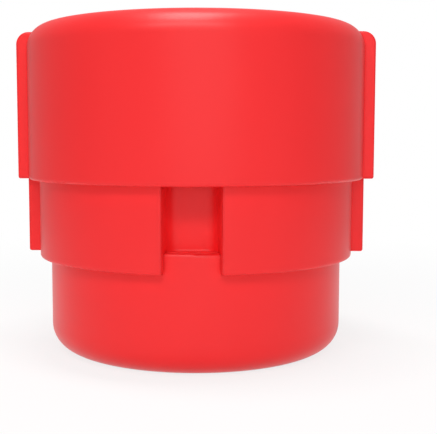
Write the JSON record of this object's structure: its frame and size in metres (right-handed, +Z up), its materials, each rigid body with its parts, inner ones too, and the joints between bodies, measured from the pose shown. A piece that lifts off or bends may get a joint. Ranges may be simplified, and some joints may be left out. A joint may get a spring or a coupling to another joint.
{
  "type": "cherry pitter",
  "caption": "Press-down cherry pitter: a deep ribbed cap with punches slides over a notched guide body that holds a tray of cherry cups above a cup for the stones.",
  "frame": {"origin": "middle of the foot, on the surface that the pitter stands on", "axes": "+Z up along the press stroke, -Y towards the front notch, ribs along X"},
  "size_m": [0.1152, 0.109, 0.1048],
  "materials": {
    "red_plastic": "satin moulded",
    "white_plastic": "fine moulded",
    "silicone": "soft matt",
    "steel": "turned stainless",
    "spring_steel": "drawn wire"
  },
  "bodies": {
    "base": {"pit_cup": "red_plastic"},
    "guide": {"guide_body": "red_plastic"},
    "tray": {"cherry_tray": "white_plastic", "cherry_cup_1": "white_plastic", "cherry_cup_2": "white_plastic", "cherry_cup_3": "white_plastic", "cherry_cup_4": "white_plastic", "cherry_cup_5": "white_plastic", "cherry_cup_6": "white_plastic", "cup_seat_1": "silicone", "cup_seat_2": "silicone", "cup_seat_3": "silicone", "cup_seat_4": "silicone", "cup_seat_5": "silicone", "cup_seat_6": "silicone"},
    "stripper": {"stripper_plate": "white_plastic", "return_spring": "spring_steel"},
    "cap": {"press_cap": "red_plastic", "punch_plate": "white_plastic", "punch_plate_screws": "steel", "guide_rod": "steel", "rod_washer": "steel", "rod_screw": "steel", "punch_1": "steel", "punch_2": "steel", "punch_3": "steel", "punch_4": "steel", "punch_5": "steel", "punch_6": "steel"}
  },
  "joints": [
    {"name": "guide_lift", "type": "slide", "parent": "base", "child": "guide", "axis": [0, 0, 1], "range_m": [0, 0.03]},
    {"name": "tray_lift", "type": "slide", "parent": "guide", "child": "tray", "axis": [0, 0, 1], "range_m": [0, 0.03]},
    {"name": "head_lift", "type": "slide", "parent": "tray", "child": "stripper", "axis": [0, 0, 1], "range_m": [0, 0.04]},
    {"name": "press", "type": "slide", "parent": "stripper", "child": "cap", "axis": [0, 0, 1], "range_m": [-0.025, 0], "stiffness_N_per_m": 880, "springref_m": 0.009, "deforming": ["return_spring"]}
  ]
}
